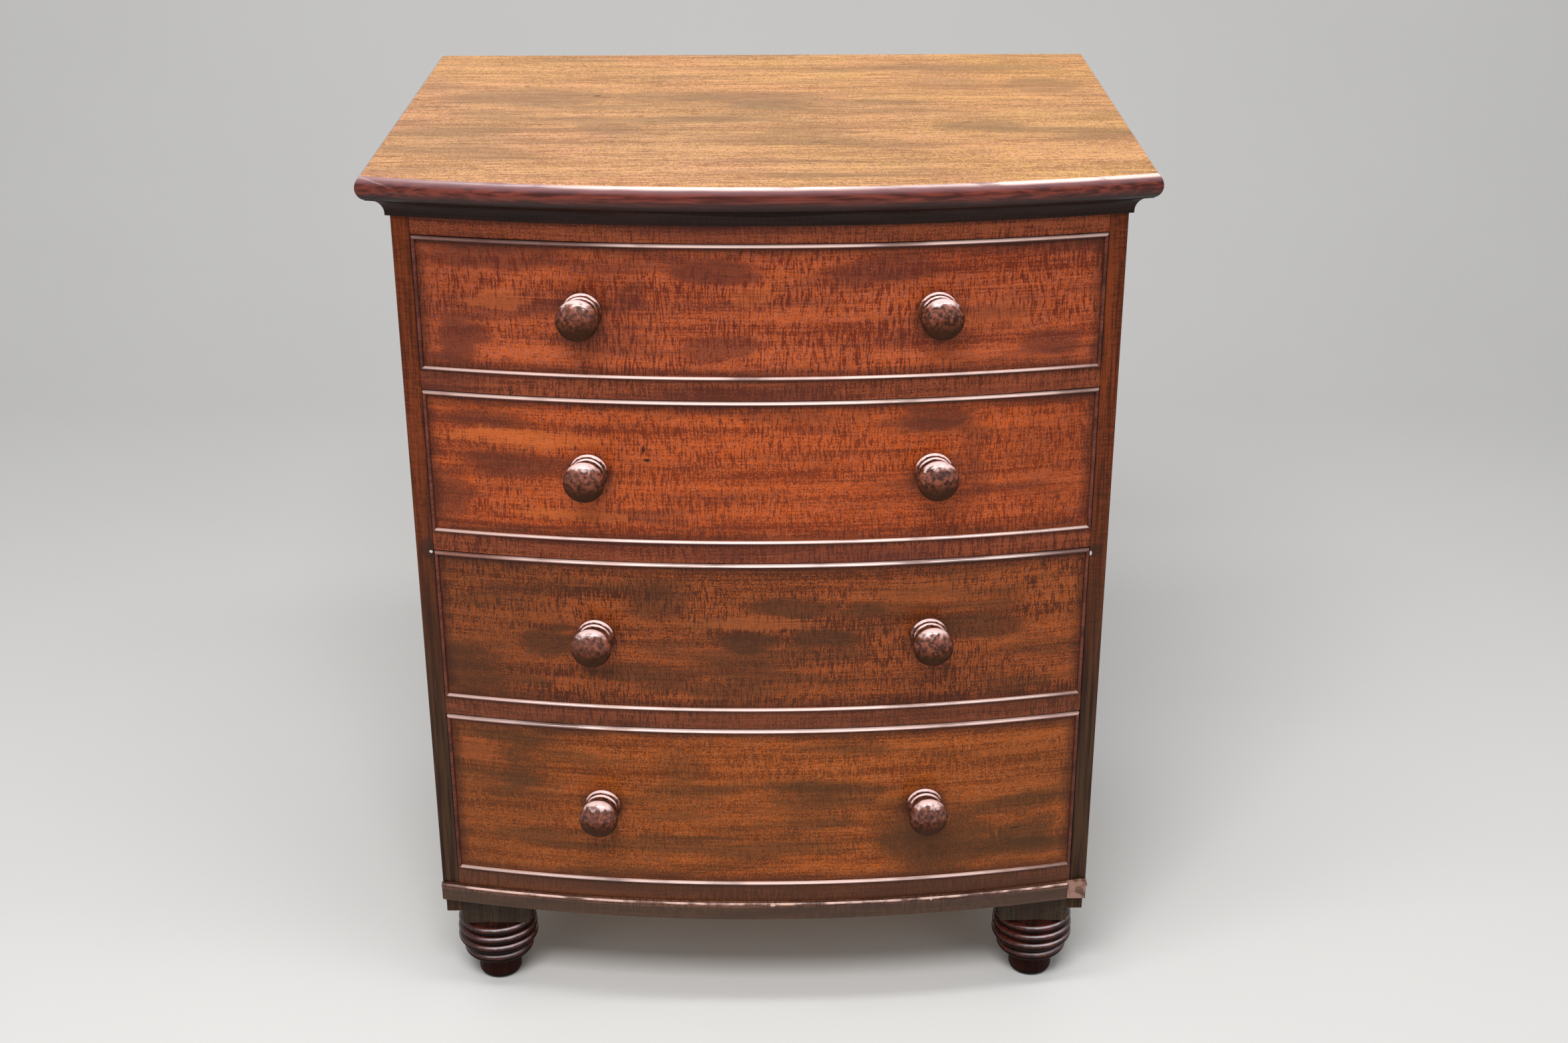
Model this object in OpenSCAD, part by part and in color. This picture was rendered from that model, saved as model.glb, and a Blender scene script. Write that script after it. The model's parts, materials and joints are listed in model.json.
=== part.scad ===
// Bow front chest of four graduated drawers on turned feet, as separate pieces of joinery.
// Origin on the floor, in the middle of the overall width and depth. The bow faces -Y.

/* [Case] */
// Height of the chest, from the floor to the top; the bottom drawer takes up the difference
chest_h = 808.5; // [760:0.5:880]
// Width of the case, outside the two sides
case_w = 610; // [540:5:720]
// Depth of the case, from its front corners to its back
case_d = 452; // [400:2:520]
// How far the middle of the front stands in front of the corners
bow_rise = 36; // [20:1:50]
// Thickness of the case sides
side_t = 16; // [14:0.5:22]
// Thickness of the drawer rails, the runners and the bottom board
rail_t = 18; // [15:0.5:24]
// Depth of the drawer rails behind the front corners
rail_d = 60; // [45:1:90]
// Height of the rail above the top drawer
top_rail_h = 32; // [28:1:45]
// Depth of the rail above the top drawer, behind the front corners
top_rail_d = 40; // [30:1:60]
// Width of a runner inside the case side
runner_w = 28; // [20:1:40]
// Depth of the housings cut across the case sides
housing_d = 6; // [4:0.5:8]
// Where the housings stop, behind the front corners
housing_stop = 12; // [9:1:20]
// Thickness of the back boards
back_t = 9; // [7:0.5:12]
// Width of the rebate for the back boards
rebate_w = 8; // [5:0.5:10]

/* [Top] */
// Thickness of the top board
top_t = 20.3; // [16:0.1:26]
// Overhang of the top board at each side
top_over_side = 24; // [20:0.5:34]
// Overhang of the top board at the front
top_over_front = 23; // [20:0.5:34]
// Overhang of the top board at the back
top_over_back = 8; // [0:0.5:20]
// How far the rounded edge falls back at its upper and lower arris
nose_fall = 5.3; // [2:0.1:7]
// Height of the hollow moulding under the top
cove_h = 16; // [15:0.5:20]
// How far that moulding stands out at its top
cove_out = 17.5; // [16.5:0.5:19]
// Height of the fillet below its hollow
cove_fillet = 1.6; // [0.8:0.1:3]

/* [Plinth and feet] */
// Height of a turned foot
foot_h = 74; // [60:1:110]
// Largest diameter of a turned foot
foot_d = 77; // [60:1:84]
// Diameter of the toe where it meets the lowest ring
toe_d = 41; // [30:1:46]
// Height of the toe
toe_h = 24; // [16:1:30]
// Width of a square foot block
block_w = 64; // [60:1:90]
// Height of a foot block, from the foot to the bottom board
block_h = 48; // [30:1:60]
// How far the case sides run down below the bottom board
side_drop = 34; // [20:1:40]
// Height of the plinth moulding
plinth_h = 18; // [12:0.5:28]
// How far the plinth moulding stands out at the front
plinth_out = 5.3; // [4:0.1:9]
// How far it stands out at the sides
plinth_side_out = 0.8; // [0.4:0.1:5]
// How deep its strips are let into the case sides
plinth_sink = 1.8; // [1.4:0.1:4]
// Diameter of the spigot that holds a foot in its block
foot_spigot_d = 22; // [14:1:28]
// Length of that spigot
foot_spigot_l = 25; // [15:1:30]

/* [Drawers] */
// Height of the top drawer
drawer_1_h = 117; // [80:1:180]
// Height of the second drawer
drawer_2_h = 131; // [80:1:200]
// Height of the third drawer
drawer_3_h = 145; // [80:1:220]
// Thickness of a drawer front, measured along the bow's radius
front_t = 22; // [18:0.5:28]
// Thickness of the drawer sides
drawer_side_t = 10; // [8:0.5:13]
// Thickness of the drawer backs
drawer_back_t = 8; // [6:0.5:12]
// Thickness of the drawer bottoms
drawer_bottom_t = 6; // [4:0.5:9]
// Height of a drawer bottom above the lower edge
bottom_lift = 10; // [8:0.5:14]
// Depth of the grooves that hold a drawer bottom
groove_d = 4.5; // [3:0.5:6]
// How far the drawer sides stop below the top of the front
side_low = 5; // [2:0.5:12]
// How far the drawer backs stop below the drawer sides
back_low = 3; // [0:0.5:10]
// Space between a closed drawer and the back boards
drawer_rear_gap = 13; // [4:1:30]
// Length of the tails in the drawer front
tail_l = 12.5; // [9:0.5:13]
// Space between the middles of two tails, as near as whole tails allow
tail_pitch = 30; // [22:1:45]
// Narrowest width of a pin between two tails
pin_w = 6; // [4:0.5:10]

/* [Cockbeads] */
// Thickness of a cockbead
bead_t = 3.2; // [2.4:0.1:4.5]
// How far a cockbead stands out of the drawer front
bead_out = 3; // [2:0.1:5]
// How deep a cockbead is let into the edge of the front
bead_in = 7.5; // [5:0.5:9]

/* [Knobs] */
// Diameter of a knob's head
knob_d = 35.5; // [28:0.5:46]
// How far a knob stands out of the drawer front
knob_l = 37; // [34:0.5:44]
// Distance of the knobs from the middle, along the drawer front
knob_x = 147; // [90:1:190]
// Diameter of the ring at the foot of a knob
knob_ring_d = 33; // [30:0.5:36]
// Diameter of the spigot that holds a knob
knob_spigot_d = 12; // [9:0.5:15]

/* [Clearances] */
// Running gap under a drawer
run_gap = 0.3; // [0.2:0.05:0.8]
// Gap above a drawer
head_gap = 1; // [0.6:0.1:2]
// Gap at each side of a drawer
cheek_gap = 0.6; // [0.4:0.1:1.5]
// Glue line behind a piece that is fixed to a bowed face
glue_gap = 0.1; // [0.05:0.05:0.3]
// Gap round a spigot, on the radius
spigot_gap = 0.1; // [0.05:0.05:0.4]
// Room left for a panel to swell
swell_gap = 0.5; // [0.2:0.1:1.5]

/* [Hidden] */

// Sides of a circle: fine for the long bow, ordinary for turned work
bow_fn = 720;
turn_fn = 72;
// Room by which a cutting shape runs past what it cuts
past = 1;

// Half widths: outside the case, between its sides, a drawer, and the inside of a drawer
case_half = case_w / 2;
open_half = case_half - side_t;
drawer_half = open_half - cheek_gap;
room_half = drawer_half - drawer_side_t;

// The bow is one circle whose centre lies far behind the front corners, which are at y = 0
bow_r = (case_half * case_half + bow_rise * bow_rise) / (2 * bow_rise);
bow_c = bow_r - bow_rise;
function bow_y(x, out = 0) = bow_c - sqrt(pow(bow_r + out, 2) - x * x);

// Heights, from the top down: each drawer stands on the rail below it
base_z = foot_h + block_h;
plinth_z = base_z - plinth_h;
case_top = chest_h - top_t;
cove_z = case_top - cove_h;
open_top = case_top - top_rail_h;
upper_hs = [drawer_1_h, drawer_2_h, drawer_3_h];
last = len(upper_hs);
function floor_z(i) = i < 0 ? open_top + rail_t
    : i == last ? base_z + rail_t
    : floor_z(i - 1) - rail_t - head_gap - upper_hs[i] - run_gap;
function drawer_z(i) = floor_z(i) + run_gap;
drawer_4_h = floor_z(last - 1) - rail_t - head_gap - drawer_z(last);
drawer_hs = concat(upper_hs, drawer_4_h);

// Depths, from the front corners back
inner_back = case_d - back_t;
back_rail_y = inner_back - rail_t;
drawer_end = inner_back - drawer_rear_gap;
// Flat shoulder behind the drawer front, where the drawer sides meet it
shoulder_y = bow_y(drawer_half, -front_t);
tail_y = shoulder_y - tail_l;

// Drawer sides and dovetails
edge_pin = 5;
tail_slope = 1 / 6;
function side_h(i) = drawer_hs[i] - side_low;
function tail_n(i) = max(2, round((side_h(i) - 2 * edge_pin) / tail_pitch));
function tail_step(i) = (side_h(i) - 2 * edge_pin + pin_w) / tail_n(i);
back_z = bottom_lift + drawer_bottom_t;

// Moulding under the top: the lip above its hollow, and the cut across its returns, from the
// case corner out
cove_reach = 3;
cove_lip = 0.6;
cove_r = cove_h - cove_fillet - cove_lip;
cove_mitre = [case_half + cove_reach * cove_out,
    cove_reach * bow_y(case_half + cove_out, cove_out)];

// Drawer stops: two low blocks on each rail, just behind the drawer fronts
stop_x = 150;
stop_w = 36;
stop_d = 14;
stop_h = 5;
stop_y = bow_y(stop_x + stop_w / 2, -front_t) + run_gap;

// Plinth corner: the front moulding runs over the left side and stops short of the right one
corner_lap = 2;
corner_out = 2.2;
plinth_bead_r = 3;
plinth_fall = 1.2;

// Feet stand a little outside the middle of their blocks
foot_set_out = 3.2;
block_x = open_half - block_w / 2;
foot_x = block_x + foot_set_out;
// Rings of a foot, from the lowest: how far each falls short of the full width, how high its
// middle stands above the toe, and its size, all in ring radii
foot_ring_r = (foot_h - toe_h) / 10;
foot_rings = [[1, 1.5, 1.04], [0, 4.25, 1], [0.05, 6.2, 1], [0.2, 8.15, 1]];
toe_round = 6.5;

// Knob: the head's edge and front are two circles that run into each other smoothly
knob_angle = asin(knob_x / bow_r);
knob_edge_r = knob_d * 0.24;
knob_cap_r = knob_d * 0.6;
knob_edge_x = knob_d / 2 - knob_edge_r;
knob_cap_z = knob_l - knob_cap_r;
knob_cap_run = knob_cap_r - knob_edge_r;
knob_edge_z = knob_cap_z + sqrt(pow(knob_cap_run, 2) - pow(knob_edge_x, 2));
knob_meet_x = knob_cap_r * knob_edge_x / knob_cap_run;
knob_meet_z = knob_cap_z + knob_cap_r * (knob_edge_z - knob_cap_z) / knob_cap_run;
// Below the head, a collar stands on the wider ring that meets the drawer front
knob_ring_r = 2.2;
knob_collar_r = 1.7;
knob_collar_in = 1.8;
knob_quirk = 0.9;

// The overall box in depth runs from the knobs to the back of the top board
front_most = bow_c - (bow_r + glue_gap + knob_cap_z) * cos(knob_angle) - knob_cap_r;
rear_most = case_d + top_over_back;
case_y = -(front_most + rear_most) / 2;

// Colours of the polished outside, the drawer fronts, the turned work and the plain inside
polished = [0.34, 0.13, 0.09];
fronts = [0.55, 0.24, 0.13];
turned = [0.28, 0.10, 0.08];
top_wood = [0.62, 0.39, 0.21];
plain = [0.66, 0.52, 0.35];

// Everything is drawn from the front corners of the case and then set in the middle of the depth
module placed() {
    translate([0, case_y, 0]) children();
}

// Points of an arc round the origin, from one angle to another
arc_steps = 12;
function arc(r, a0, a1) = [for (k = [0 : arc_steps])
    let (a = a0 + (a1 - a0) * k / arc_steps) [r * cos(a), r * sin(a)]];

// A box from its lowest to its highest corner
module box(low, high) {
    translate(low) cube(high - low);
}

// A shape and its twin across the middle of the chest
module both_sides() {
    children();
    mirror([1, 0, 0]) children();
}

// Everything behind the bowed face, out millimetres in front of the case, between two heights
module bowed(out, z0, z1) {
    translate([0, bow_c, z0]) cylinder(r = bow_r + out, h = z1 - z0, $fn = bow_fn);
}

// An outline turned round the bow: x of the outline is measured out from the case front
module round_the_bow(z) {
    translate([0, bow_c, z]) rotate_extrude($fn = bow_fn) translate([bow_r, 0]) children();
}

// An outline of depth and height carried across the width, from x0 to x1
module across(x0, x1) {
    translate([x0, 0, 0]) rotate([90, 0, 90]) linear_extrude(x1 - x0) children();
}

// An outline of width and height carried back, from y0 to y1
module along(y0, y1) {
    translate([0, y1, 0]) rotate([90, 0, 0]) linear_extrude(y1 - y0) children();
}

// Top board: a bowed front edge and straight side edges, all with the same rounded nose
module nose_outline(reach) {
    nose_r = (pow(top_t / 2, 2) + pow(nose_fall, 2)) / (2 * nose_fall);
    translate([reach - nose_r, top_t / 2]) intersection() {
        circle(r = nose_r, $fn = turn_fn);
        translate([nose_r - nose_fall - past, -top_t / 2]) square([nose_fall + past, top_t]);
    }
    square([reach - nose_fall, top_t]);
}

module top_board() {
    color(top_wood) placed() intersection() {
        translate([0, bow_c, case_top]) rotate_extrude($fn = bow_fn)
            nose_outline(bow_r + top_over_front);
        translate([0, 0, case_top]) along(-bow_rise - 2 * top_over_front, rear_most) {
            nose_outline(case_half + top_over_side);
            mirror([1, 0]) nose_outline(case_half + top_over_side);
        }
    }
}

// Hollow moulding under the top, mitred at the front corners
module cove_outline(inset) {
    polygon(concat([[cove_out, cove_h], [inset, cove_h], [inset, 0], [cove_out - cove_r, 0]],
        [for (p = arc(cove_r, 180, 90)) p + [cove_out, cove_fillet]]));
}

module top_moulding_front() {
    color(polished) placed() intersection() {
        round_the_bow(cove_z) cove_outline(glue_gap);
        translate([0, 0, cove_z]) linear_extrude(cove_h) polygon([[-case_half, 0],
            [-cove_mitre.x, cove_mitre.y], [cove_mitre.x, cove_mitre.y], [case_half, 0]]);
    }
}

module top_moulding_side() {
    intersection() {
        translate([case_half, 0, cove_z]) along(cove_mitre.y, case_d) cove_outline(0);
        translate([0, 0, cove_z]) linear_extrude(cove_h) polygon([[case_half, 0],
            [cove_mitre.x, cove_mitre.y], [cove_mitre.x, case_d], [case_half, case_d]]);
    }
}

module top_moulding_left() {
    color(polished) placed() mirror([1, 0, 0]) top_moulding_side();
}

module top_moulding_right() {
    color(polished) placed() top_moulding_side();
}

// Case side: shaped to the bow above the plinth, square below it, with housings for what it carries
module case_side() {
    difference() {
        union() {
            intersection() {
                bowed(0, base_z, case_top);
                box([open_half, -bow_rise, base_z], [case_half, case_d, case_top]);
            }
            box([open_half, 0, base_z - side_drop], [case_half - plinth_sink, case_d, base_z]);
        }
        for (i = [0 : last])
            housing(floor_z(i) - rail_t, floor_z(i), housing_stop, inner_back);
        housing(open_top, open_top + rail_t, housing_stop, inner_back);
        housing(open_top, case_top + past, housing_stop, top_rail_d);
        housing(open_top, case_top + past, back_rail_y, inner_back);
        box([open_half - past, inner_back, base_z],
            [open_half + rebate_w, case_d + past, case_top + past]);
    }
}

module housing(z0, z1, y0, y1) {
    box([open_half - past, y0, z0], [open_half + housing_d, y1, z1]);
}

module left_side() {
    color(polished) placed() mirror([1, 0, 0]) case_side();
}

module right_side() {
    color(polished) placed() case_side();
}

// Back: two upright boards that lie in the rebates of the sides
module back_board() {
    box([0, inner_back, base_z], [open_half + rebate_w, case_d, case_top]);
}

module back_board_left() {
    color(plain) placed() mirror([1, 0, 0]) back_board();
}

module back_board_right() {
    color(plain) placed() back_board();
}

// Bowed rail, housed in both sides behind the place where the housings stop
module bowed_rail(z0, z1, depth) {
    intersection() {
        bowed(0, z0, z1);
        union() {
            box([-open_half, -bow_rise - past, z0], [open_half, depth, z1]);
            box([-open_half - housing_d, housing_stop, z0], [open_half + housing_d, depth, z1]);
        }
    }
}

module top_rail() {
    color(fronts) placed() bowed_rail(open_top, case_top, top_rail_d);
}

// Rail under drawer i, counted from the top
module drawer_rail(i) {
    color(fronts) placed() bowed_rail(floor_z(i) - rail_t, floor_z(i), rail_d);
}

module rail_1() {
    drawer_rail(0);
}

module rail_2() {
    drawer_rail(1);
}

module rail_3() {
    drawer_rail(2);
}

module bottom_rail() {
    drawer_rail(last);
}

module bottom_board() {
    color(plain) placed() box([-open_half - housing_d, rail_d, base_z],
        [open_half + housing_d, inner_back, base_z + rail_t]);
}

module back_rail() {
    color(plain) placed() box([-open_half - housing_d, back_rail_y, open_top],
        [open_half + housing_d, inner_back, case_top]);
}

// Runners: a pair behind each rail, housed in the sides
module runner_pair(z, y0, y1) {
    color(plain) placed() both_sides()
        box([open_half - runner_w, y0, z], [open_half + housing_d, y1, z + rail_t]);
}

module runners_1() {
    runner_pair(floor_z(0) - rail_t, rail_d, inner_back - swell_gap);
}

module runners_2() {
    runner_pair(floor_z(1) - rail_t, rail_d, inner_back - swell_gap);
}

module runners_3() {
    runner_pair(floor_z(2) - rail_t, rail_d, inner_back - swell_gap);
}

// Kickers keep the top drawer from tipping and carry the top board's screws
module kickers() {
    runner_pair(open_top, top_rail_d, back_rail_y);
}

module drawer_stops() {
    color(plain) placed() both_sides() for (i = [0 : last])
        box([stop_x - stop_w / 2, stop_y, floor_z(i)],
            [stop_x + stop_w / 2, stop_y + stop_d, floor_z(i) + stop_h]);
}

// Plinth moulding: a flat face with a round bead along its upper edge
module plinth_outline(out) {
    bead_r = min(plinth_bead_r, out);
    foot_of_bead = -acos(1 - plinth_fall / bead_r);
    polygon(concat([[0, plinth_h], [0, 0], [out - plinth_fall, 0]],
        [for (p = arc(bead_r, foot_of_bead, 90)) p + [out - bead_r, plinth_h - bead_r]]));
}

// Its bowed front is sawn from the solid, with a flat back that the foot blocks butt against
module plinth_front() {
    color(polished) placed() intersection() {
        union() {
            bowed(0, plinth_z, base_z);
            round_the_bow(plinth_z) translate([-glue_gap, 0]) square([2 * glue_gap, plinth_h]);
            round_the_bow(plinth_z) plinth_outline(plinth_out);
        }
        box([-case_half - plinth_side_out, -2 * bow_rise, plinth_z],
            [open_half - corner_lap, 0, base_z]);
    }
}

module plinth_strip_outline() {
    translate([case_half - plinth_sink, 0]) plinth_outline(plinth_sink + plinth_side_out);
}

module plinth_strip() {
    translate([0, 0, plinth_z]) along(0, case_d) plinth_strip_outline();
}

module plinth_left() {
    color(polished) placed() mirror([1, 0, 0]) plinth_strip();
}

// The right hand strip turns the corner, so its end shows beside the bowed moulding
module plinth_right() {
    color(polished) placed() {
        plinth_strip();
        translate([0, 0, plinth_z]) along(-plinth_out - corner_out, 0) {
            plinth_strip_outline();
            translate([open_half - corner_lap, 0])
                square([side_t + corner_lap - plinth_sink, plinth_h]);
        }
    }
}

// Foot block, one in each corner behind the plinth, bored for the foot's spigot
module foot_block(y) {
    difference() {
        box([block_x - block_w / 2, y, foot_h], [block_x + block_w / 2, y + block_w, base_z]);
        translate([foot_x, y + block_w / 2, foot_h - past])
            cylinder(d = foot_spigot_d + 2 * spigot_gap, h = foot_spigot_l + spigot_gap + past,
                $fn = turn_fn);
    }
}

module foot_blocks() {
    color(polished) placed() both_sides() {
        foot_block(0);
        foot_block(case_d - block_w);
    }
}

// Turned foot: a stack of rings that shrinks to a plain toe
module ring(edge, z, r) {
    translate([edge - r, z]) circle(r = r, $fn = turn_fn);
}

module foot() {
    r = foot_ring_r;
    core = foot_d / 2 - r;
    toe = toe_d / 2;
    rotate_extrude($fn = turn_fn) {
        polygon(concat([[0, 0]],
            [for (p = arc(toe_round, -90, 0)) p + [toe - toe_round, toe_round]],
            [[toe, toe_h], [core - 2 * r, toe_h + r / 2], [core - r / 3, toe_h + 2.4 * r],
                [core, toe_h + 3.5 * r], [core, foot_h], [0, foot_h]]));
        for (k = foot_rings)
            ring(foot_d / 2 - k[0] * r, toe_h + k[1] * r, k[2] * r);
        square([foot_spigot_d / 2, foot_h + foot_spigot_l]);
    }
}

module foot_front_left() {
    color(turned) placed() translate([-foot_x, block_w / 2, 0]) foot();
}

module foot_front_right() {
    color(turned) placed() translate([foot_x, block_w / 2, 0]) foot();
}

module foot_back_left() {
    color(turned) placed() translate([-foot_x, case_d - block_w / 2, 0]) foot();
}

module foot_back_right() {
    color(turned) placed() translate([foot_x, case_d - block_w / 2, 0]) foot();
}

// Tails of a drawer side: they widen from the shoulder at y0 to the end at y1, and their roots
// run a little past the shoulder
module tails(i, y0, y1) {
    spread = abs(y1 - y0) * tail_slope;
    root = y0 - sign(y1 - y0) * past;
    for (k = [0 : tail_n(i) - 1]) {
        low = edge_pin + k * tail_step(i);
        high = low + tail_step(i) - pin_w;
        polygon([[root, low + spread], [y0, low + spread], [y1, low],
            [y1, high], [y0, high - spread], [root, high - spread]]);
    }
}

// Right hand drawer side, grooved for the bottom and dovetailed at both ends
module drawer_side(i) {
    color(plain) placed() translate([0, 0, drawer_z(i)]) difference() {
        union() {
            box([room_half, shoulder_y, 0], [drawer_half, drawer_end, side_h(i)]);
            across(room_half, drawer_half) tails(i, shoulder_y, tail_y);
        }
        across(room_half - past, drawer_half + past) back_pins(i);
        box([room_half - past, -bow_rise, bottom_lift],
            [room_half + groove_d, drawer_end + past, back_z]);
    }
}

module left_drawer_side(i) {
    mirror([1, 0, 0]) drawer_side(i);
}

// What the drawer back fills between the rear tails, above the drawer bottom
module back_pins(i) {
    difference() {
        translate([drawer_end - drawer_back_t, back_z])
            square([drawer_back_t, side_h(i) - back_low - back_z]);
        tails(i, drawer_end - drawer_back_t, drawer_end);
    }
}

module drawer_back(i) {
    color(plain) placed() translate([0, 0, drawer_z(i)]) {
        box([-room_half, drawer_end - drawer_back_t, back_z],
            [room_half, drawer_end, side_h(i) - back_low]);
        both_sides() across(room_half, drawer_half) back_pins(i);
    }
}

module drawer_bottom(i) {
    edge = room_half + groove_d - swell_gap;
    color(plain) placed() translate([0, 0, drawer_z(i)]) intersection() {
        bowed(groove_d - front_t - glue_gap, bottom_lift, back_z);
        box([-edge, -bow_rise, bottom_lift], [edge, drawer_end, back_z]);
    }
}

// Drawer front: bowed inside and out, rebated for the cockbeads, with lapped dovetail sockets
module drawer_front(i) {
    h = drawer_hs[i];
    color(fronts) placed() translate([0, 0, drawer_z(i)]) difference() {
        union() {
            intersection() {
                bowed(-bead_in, 0, h);
                box([-drawer_half, -bow_rise, 0], [drawer_half, shoulder_y, h]);
            }
            intersection() {
                bowed(0, bead_t, h - bead_t);
                box([-drawer_half + bead_t, -bow_rise - past, bead_t],
                    [drawer_half - bead_t, 0, h - bead_t]);
            }
        }
        intersection() {
            bowed(-front_t, -past, h + past);
            box([-room_half, -bow_rise, -past], [room_half, shoulder_y + past, h + past]);
        }
        intersection() {
            bowed(groove_d - front_t, bottom_lift, back_z);
            box([-room_half - groove_d, -bow_rise, bottom_lift],
                [room_half + groove_d, shoulder_y + past, back_z]);
        }
        both_sides() {
            across(room_half - past, drawer_half + past) {
                tails(i, shoulder_y, tail_y);
            }
            on_the_bow(knob_x, h / 2)
                translate([0, 0, -front_t - past])
                    cylinder(d = knob_spigot_d + 2 * spigot_gap, h = front_t + 2 * past, $fn = turn_fn);
        }
    }
}

// Stands a shape on the bowed face, x along it and z up, with its own Z pointing out of the face
module on_the_bow(x, z) {
    translate([0, bow_c, z]) rotate([0, 0, asin(x / bow_r)]) translate([0, -bow_r, 0])
        rotate([90, 0, 0]) children();
}

// Cockbeads: four strips round the front, mitred at the corners and rounded in front
module bead_outline(depth) {
    nose = bead_t / 2;
    polygon(concat([[-depth, bead_t], [-depth, 0]],
        [for (p = arc(nose, -90, 90)) p + [bead_out - nose, nose]]));
}

module long_bead(h) {
    intersection() {
        round_the_bow(h - bead_t) bead_outline(bead_in - glue_gap);
        along(-2 * bow_rise, shoulder_y) polygon([[-drawer_half, h], [drawer_half, h],
            [drawer_half - bead_t, h - bead_t], [-drawer_half + bead_t, h - bead_t]]);
    }
}

module short_bead(h) {
    x = drawer_half - bead_t;
    difference() {
        intersection() {
            translate([x, bow_y(x + bead_t / 2), 0]) linear_extrude(h)
                rotate([0, 0, -90]) bead_outline(bead_in + past);
            along(-2 * bow_rise, shoulder_y) polygon([[drawer_half, glue_gap],
                [drawer_half, h - glue_gap], [drawer_half - bead_t, h - bead_t - glue_gap],
                [drawer_half - bead_t, bead_t + glue_gap]]);
        }
        bowed(glue_gap - bead_in, 0, h);
    }
}

module cockbeads(i) {
    h = drawer_hs[i];
    color(turned) placed() translate([0, 0, drawer_z(i)]) {
        long_bead(h);
        translate([0, 0, h]) mirror([0, 0, 1]) long_bead(h);
        both_sides() short_bead(h);
    }
}

// Turned knob: two rings, a neck and a mushroom head, on a spigot
module knob() {
    ring_edge = knob_ring_d / 2;
    collar_edge = ring_edge - knob_collar_in;
    collar_z = 2 * knob_ring_r + knob_quirk;
    rotate_extrude($fn = turn_fn) {
        polygon([[0, 0], [knob_edge_x, 0], [knob_edge_x, knob_edge_z], [knob_meet_x, knob_meet_z],
            [0, knob_meet_z]]);
        ring(knob_d / 2, knob_edge_z, knob_edge_r);
        intersection() {
            translate([0, knob_cap_z]) circle(r = knob_cap_r, $fn = turn_fn);
            translate([0, knob_meet_z]) square([knob_meet_x, knob_l - knob_meet_z]);
        }
        square([ring_edge - knob_ring_r, 2 * knob_ring_r]);
        ring(ring_edge, knob_ring_r, knob_ring_r);
        square([collar_edge - 2 * knob_collar_r, collar_z]);
        translate([0, collar_z]) square([collar_edge - knob_collar_r, 2 * knob_collar_r]);
        ring(collar_edge, collar_z + knob_collar_r, knob_collar_r);
        translate([0, -front_t]) square([knob_spigot_d / 2, front_t]);
    }
}

module drawer_knob(i, side) {
    color(turned) placed() on_the_bow(side * knob_x, drawer_z(i) + drawer_hs[i] / 2)
        translate([0, 0, glue_gap]) knob();
}

top_board();
top_moulding_front();
top_moulding_left();
top_moulding_right();
left_side();
right_side();
back_board_left();
back_board_right();
top_rail();
rail_1();
rail_2();
rail_3();
bottom_rail();
bottom_board();
back_rail();
runners_1();
runners_2();
runners_3();
kickers();
drawer_stops();
plinth_front();
plinth_left();
plinth_right();
foot_blocks();
foot_front_left();
foot_front_right();
foot_back_left();
foot_back_right();
drawer_front(0);  // drawer_1_front
left_drawer_side(0);  // drawer_1_left_side
drawer_side(0);  // drawer_1_right_side
drawer_back(0);  // drawer_1_back
drawer_bottom(0);  // drawer_1_bottom
cockbeads(0);  // drawer_1_cockbeads
drawer_knob(0, -1);  // drawer_1_knob_left
drawer_knob(0, 1);  // drawer_1_knob_right
drawer_front(1);  // drawer_2_front
left_drawer_side(1);  // drawer_2_left_side
drawer_side(1);  // drawer_2_right_side
drawer_back(1);  // drawer_2_back
drawer_bottom(1);  // drawer_2_bottom
cockbeads(1);  // drawer_2_cockbeads
drawer_knob(1, -1);  // drawer_2_knob_left
drawer_knob(1, 1);  // drawer_2_knob_right
drawer_front(2);  // drawer_3_front
left_drawer_side(2);  // drawer_3_left_side
drawer_side(2);  // drawer_3_right_side
drawer_back(2);  // drawer_3_back
drawer_bottom(2);  // drawer_3_bottom
cockbeads(2);  // drawer_3_cockbeads
drawer_knob(2, -1);  // drawer_3_knob_left
drawer_knob(2, 1);  // drawer_3_knob_right
drawer_front(3);  // drawer_4_front
left_drawer_side(3);  // drawer_4_left_side
drawer_side(3);  // drawer_4_right_side
drawer_back(3);  // drawer_4_back
drawer_bottom(3);  // drawer_4_bottom
cockbeads(3);  // drawer_4_cockbeads
drawer_knob(3, -1);  // drawer_4_knob_left
drawer_knob(3, 1);  // drawer_4_knob_right
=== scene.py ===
# Bow front chest of drawers: polished mahogany outside, plain pine within
import bpy
import bmesh
import json
import math
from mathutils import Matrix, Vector


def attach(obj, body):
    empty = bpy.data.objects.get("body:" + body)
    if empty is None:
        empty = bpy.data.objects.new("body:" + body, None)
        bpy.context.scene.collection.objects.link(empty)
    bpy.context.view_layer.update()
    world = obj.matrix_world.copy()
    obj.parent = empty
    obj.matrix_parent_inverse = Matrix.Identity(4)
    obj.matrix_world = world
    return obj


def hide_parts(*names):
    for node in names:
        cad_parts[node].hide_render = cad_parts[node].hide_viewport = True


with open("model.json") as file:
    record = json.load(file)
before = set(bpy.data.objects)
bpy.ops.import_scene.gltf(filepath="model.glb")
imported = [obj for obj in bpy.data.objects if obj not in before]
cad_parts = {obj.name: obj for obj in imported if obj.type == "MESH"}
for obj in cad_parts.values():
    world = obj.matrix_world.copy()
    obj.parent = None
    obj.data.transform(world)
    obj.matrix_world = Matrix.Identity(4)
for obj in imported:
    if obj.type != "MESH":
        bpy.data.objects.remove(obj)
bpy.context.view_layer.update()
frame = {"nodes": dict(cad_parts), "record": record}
nodes = frame["nodes"]
record = frame["record"]
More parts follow.
